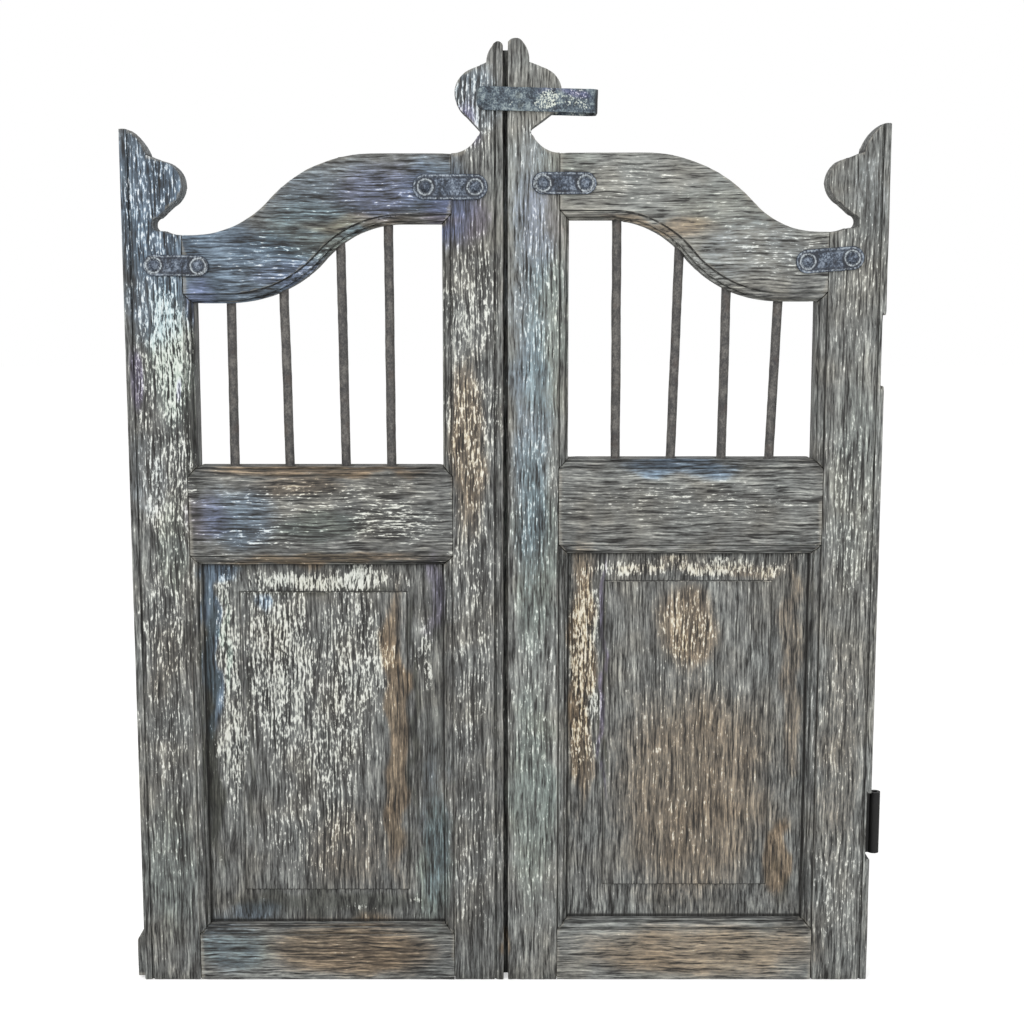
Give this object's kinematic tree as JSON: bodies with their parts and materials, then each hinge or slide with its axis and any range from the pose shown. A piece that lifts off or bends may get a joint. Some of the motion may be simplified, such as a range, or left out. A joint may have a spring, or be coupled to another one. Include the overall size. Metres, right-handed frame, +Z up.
{
  "type": "saloon door",
  "caption": "Saloon door leaves in weathered painted teak: serpentine top rails over iron bars, raised panels, shaped finials and an iron strap latch.",
  "frame": {"origin": "on the floor line, at the middle of the gap between the two leaves, at mid-thickness of the wood", "axes": "+Z up, -Y out of the front faces that carry the mouldings, +X to the right seen from the front"},
  "size_m": [0.9525, 0.0556, 1.1788],
  "materials": {
    "frame_teak": "weathered teak with worn slate-blue, green and cream paint",
    "panel_teak": "weathered teak with worn cream paint",
    "bar_iron": "painted and rusted round iron",
    "plate_iron": "worn blue-grey paint on forged iron",
    "latch_iron": "worn blue-grey paint on flat iron",
    "hinge_iron": "blackened iron"
  },
  "bodies": {
    "leaves": {"latch_rivet": "latch_iron", "left_bar_1": "bar_iron", "left_bar_2": "bar_iron", "left_bar_3": "bar_iron", "left_bar_4": "bar_iron", "left_bottom_rail": "frame_teak", "left_hinge_stile": "frame_teak", "left_inner_joint_plate": "plate_iron", "left_meeting_stile": "frame_teak", "left_mid_rail": "frame_teak", "left_outer_joint_plate": "plate_iron", "left_panel": "panel_teak", "left_plate_rivets": "plate_iron", "left_top_rail": "frame_teak", "right_bar_1": "bar_iron", "right_bar_2": "bar_iron", "right_bar_3": "bar_iron", "right_bar_4": "bar_iron", "right_bottom_rail": "frame_teak", "right_hinge_eye": "hinge_iron", "right_hinge_screws": "hinge_iron", "right_hinge_stile": "frame_teak", "right_inner_joint_plate": "plate_iron", "right_meeting_stile": "frame_teak", "right_mid_rail": "frame_teak", "right_outer_joint_plate": "plate_iron", "right_panel": "panel_teak", "right_plate_rivets": "plate_iron", "right_top_rail": "frame_teak"},
    "latch": {"latch_strap": "latch_iron"}
  },
  "joints": [
    {"name": "latch_pivot", "type": "hinge", "parent": "leaves", "child": "latch", "pos_m": [-0.023, 0, 1.1078], "axis": [0, -1, 0], "range_deg": [-17, 198]}
  ]
}
